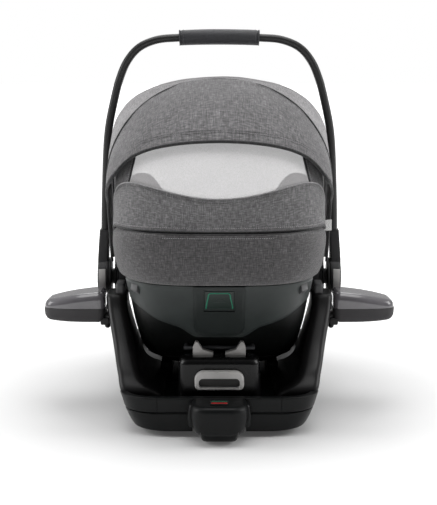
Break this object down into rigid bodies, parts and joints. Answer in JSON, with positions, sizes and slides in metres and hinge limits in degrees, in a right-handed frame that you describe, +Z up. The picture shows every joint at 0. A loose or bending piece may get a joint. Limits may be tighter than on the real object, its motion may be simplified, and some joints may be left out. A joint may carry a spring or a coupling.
{
  "type": "infant car seat",
  "caption": "Rear-facing infant carrier with a turning handle, folding canopy and harness, docked on a vehicle base with side wings, sliding ISOFIX arms and a folding support leg.",
  "frame": {"origin": "on the floor, under the middle of the bounding box of the docked seat with its handle up", "axes": "+Z up; +Y towards the child's feet and the vehicle's seat back, where the ISOFIX arms come out; -Y towards the child's head and the support leg's hinge; +X across"},
  "size_m": [0.614, 0.73, 0.6605],
  "materials": {
    "shell_plastic": "fine matt grain",
    "hub_plastic": "matt",
    "handle_paint": "black satin anodised",
    "grip_cover": "soft leatherette with seams",
    "foam": "expanded polystyrene",
    "hood_fabric": "grey melange weave",
    "side_fabric": "grey melange weave",
    "mesh_fabric": "fine see-through mesh",
    "lining": "soft knitted lining",
    "webbing": "woven webbing",
    "base_plastic": "fine matt grain",
    "wing_gloss": "gloss",
    "wing_matt": "matt",
    "grey_button": "satin",
    "leg_paint": "dark satin",
    "red_part": "satin",
    "steel": "brushed",
    "rubber": "matt",
    "label": "blank woven label"
  },
  "bodies": {
    "base": {"base_lower": "base_plastic", "base_upper": "base_plastic", "nose_housing": "base_plastic", "leg_indicator": "red_part", "dock_block": "base_plastic", "rubber_strip_right": "rubber", "rubber_strip_left": "rubber", "side_arm_right": "base_plastic", "side_arm_left": "base_plastic"},
    "carrier": {"carrier_shell": "shell_plastic", "foam_liner": "foam", "seat_cover": "lining", "infant_insert": "lining", "seat_skirt": "side_fabric", "head_support": "lining", "shoulder_strap_right": "webbing", "shoulder_strap_left": "webbing", "shoulder_pad_right": "lining", "shoulder_pad_left": "lining", "buckle_body": "hub_plastic", "crotch_strap": "webbing", "adjuster_housing": "hub_plastic", "lever_housing": "shell_plastic", "latch_bar": "steel", "belt_guide_right": "grey_button", "belt_guide_left": "grey_button", "hub_base_right": "hub_plastic", "hub_base_left": "hub_plastic", "canopy_side": "side_fabric", "canopy_window": "mesh_fabric", "canopy_band": "side_fabric", "care_tag": "label"},
    "handle": {"handle_tube": "handle_paint", "handle_grip": "grip_cover", "hub_housing_right": "hub_plastic", "hub_housing_left": "hub_plastic"},
    "canopy_mid": {"canopy_bow_mid": "hub_plastic", "canopy_hood": "hood_fabric"},
    "canopy_front": {"canopy_bow_front": "hub_plastic", "canopy_visor": "hood_fabric"},
    "hub_button_right": {"hub_button_right": "grey_button"},
    "hub_button_left": {"hub_button_left": "grey_button"},
    "release_lever": {"release_lever": "shell_plastic"},
    "buckle_button": {"buckle_button": "red_part"},
    "adjuster_button": {"adjuster_button": "grey_button"},
    "wing_right": {"wing_body_right": "wing_matt", "wing_top_right": "wing_gloss"},
    "wing_left": {"wing_body_left": "wing_matt", "wing_top_left": "wing_gloss"},
    "wing_latch_right": {"wing_latch_right": "grey_button"},
    "wing_latch_left": {"wing_latch_left": "grey_button"},
    "dock_slider": {"release_handle": "grey_button", "latch_hooks": "grey_button"},
    "isofix_right": {"isofix_arm_right": "steel"},
    "isofix_left": {"isofix_arm_left": "steel"},
    "isofix_button_right": {"isofix_button_right": "red_part"},
    "isofix_button_left": {"isofix_button_left": "red_part"},
    "leg": {"leg_outer": "leg_paint"},
    "leg_inner": {"leg_inner": "leg_paint"},
    "leg_button": {"leg_button": "grey_button"}
  },
  "joints": [
    {"name": "carrier_lift", "type": "slide", "parent": "base", "child": "carrier", "axis": [0, 0, 1], "range_m": [0, 0.3]},
    {"name": "handle_turn", "type": "hinge", "parent": "carrier", "child": "handle", "pos_m": [0, 0, 0.216], "axis": [1, 0, 0], "range_deg": [0, 75]},
    {"name": "canopy_mid_turn", "type": "hinge", "parent": "carrier", "child": "canopy_mid", "pos_m": [0, 0, 0.216], "axis": [1, 0, 0], "range_deg": [0, 45], "deforming": ["canopy_hood", "canopy_visor"]},
    {"name": "canopy_front_turn", "type": "hinge", "parent": "canopy_mid", "child": "canopy_front", "pos_m": [0, 0, 0.216], "axis": [1, 0, 0], "range_deg": [0, 27]},
    {"name": "hub_button_right_press", "type": "slide", "parent": "handle", "child": "hub_button_right", "axis": [0, 1, 0], "range_m": [0, 0.003], "stiffness_N_per_m": 800, "springref_m": -0.002},
    {"name": "hub_button_left_press", "type": "slide", "parent": "handle", "child": "hub_button_left", "axis": [0, 1, 0], "range_m": [0, 0.003], "stiffness_N_per_m": 800, "springref_m": -0.002},
    {"name": "release_lever_pull", "type": "hinge", "parent": "carrier", "child": "release_lever", "pos_m": [0, -0.305, 0.2455], "axis": [-1, 0, 0], "range_deg": [0, 12], "stiffness_Nm_per_rad": 0.3, "springref_deg": -11.46},
    {"name": "buckle_button_press", "type": "slide", "parent": "carrier", "child": "buckle_button", "axis": [0, 0, -1], "range_m": [0, 0.0025], "stiffness_N_per_m": 800, "springref_m": -0.002},
    {"name": "adjuster_button_press", "type": "slide", "parent": "carrier", "child": "adjuster_button", "axis": [0, 0.6157, -0.788], "range_m": [0, 0.0025], "stiffness_N_per_m": 800, "springref_m": -0.002},
    {"name": "wing_right_fold", "type": "hinge", "parent": "base", "child": "wing_right", "pos_m": [0.195, -0.09, 0.15], "axis": [0, 1, 0], "range_deg": [0, 85]},
    {"name": "wing_left_fold", "type": "hinge", "parent": "base", "child": "wing_left", "pos_m": [-0.195, -0.09, 0.15], "axis": [0, -1, 0], "range_deg": [0, 85]},
    {"name": "wing_latch_right_press", "type": "slide", "parent": "base", "child": "wing_latch_right", "axis": [0, 0, -1], "range_m": [0, 0.0035], "stiffness_N_per_m": 800, "springref_m": -0.002},
    {"name": "wing_latch_left_press", "type": "slide", "parent": "base", "child": "wing_latch_left", "axis": [0, 0, -1], "range_m": [0, 0.0035], "stiffness_N_per_m": 800, "springref_m": -0.002},
    {"name": "dock_release_pull", "type": "slide", "parent": "base", "child": "dock_slider", "axis": [0, -1, 0], "range_m": [0, 0.012], "stiffness_N_per_m": 900, "springref_m": -0.006},
    {"name": "isofix_right_slide", "type": "slide", "parent": "base", "child": "isofix_right", "axis": [0, 1, 0], "range_m": [0, 0.09]},
    {"name": "isofix_left_slide", "type": "slide", "parent": "base", "child": "isofix_left", "axis": [0, 1, 0], "range_m": [0, 0.09]},
    {"name": "isofix_button_right_press", "type": "slide", "parent": "isofix_right", "child": "isofix_button_right", "axis": [0, 0, -1], "range_m": [0, 0.003], "stiffness_N_per_m": 800, "springref_m": -0.002},
    {"name": "isofix_button_left_press", "type": "slide", "parent": "isofix_left", "child": "isofix_button_left", "axis": [0, 0, -1], "range_m": [0, 0.003], "stiffness_N_per_m": 800, "springref_m": -0.002},
    {"name": "leg_fold", "type": "hinge", "parent": "base", "child": "leg", "pos_m": [0, -0.33, 0.028], "axis": [-1, 0, 0], "range_deg": [0, 95]},
    {"name": "leg_extend", "type": "slide", "parent": "leg", "child": "leg_inner", "axis": [0, 1, 0], "range_m": [0, 0.2]},
    {"name": "leg_button_press", "type": "slide", "parent": "leg", "child": "leg_button", "axis": [0, 0, 1], "range_m": [0, 0.002], "stiffness_N_per_m": 800, "springref_m": -0.002}
  ],
  "couplings": [
    {"joint": "canopy_front_turn", "follows": "canopy_mid_turn", "ratio": 0.6}
  ]
}
